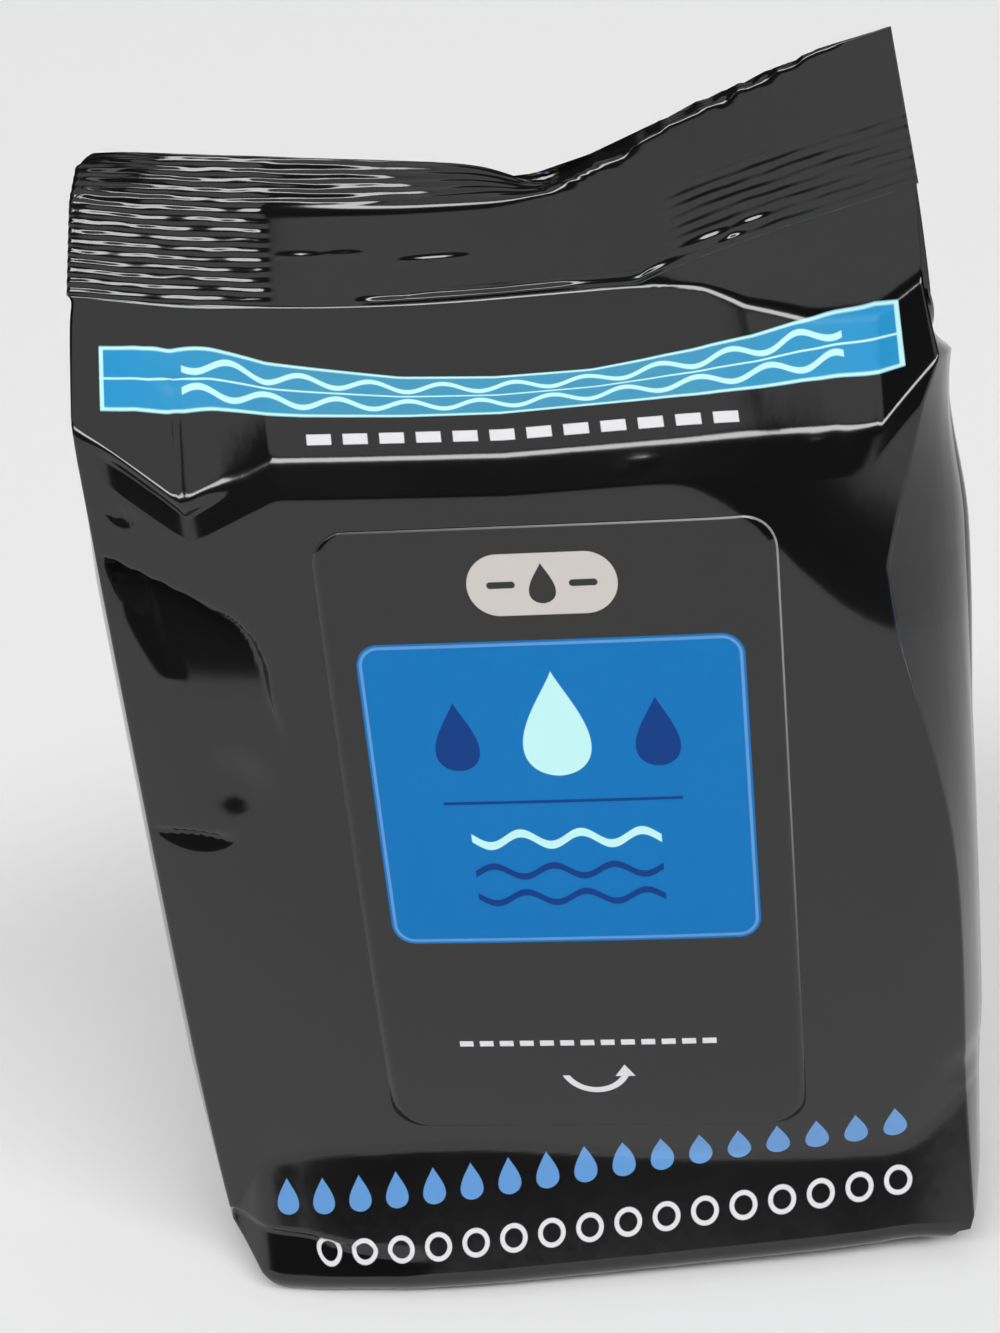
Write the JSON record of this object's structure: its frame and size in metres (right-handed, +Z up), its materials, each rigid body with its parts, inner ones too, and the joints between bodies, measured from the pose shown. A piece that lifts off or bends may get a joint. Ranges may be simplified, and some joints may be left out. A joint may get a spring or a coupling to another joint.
{
  "type": "wet wipes pack",
  "caption": "Upright sealed film pack of wet wipes with gusseted sides, a crimped seal fin along the top, a folded foot and a peel-back reseal label on the front.",
  "frame": {"origin": "on the ground under the middle of the pack, on the folded bottom seal", "axes": "+Z up to the crimped seal, -Y out of the front with the label, +X to the right of someone facing the front"},
  "size_m": [0.1166, 0.0414, 0.1684],
  "materials": {
    "film": "glossy black printed film",
    "label": "glossy printed film label"
  },
  "bodies": {
    "root": {"pouch": "film", "reseal_label": "label"}
  },
  "joints": []
}
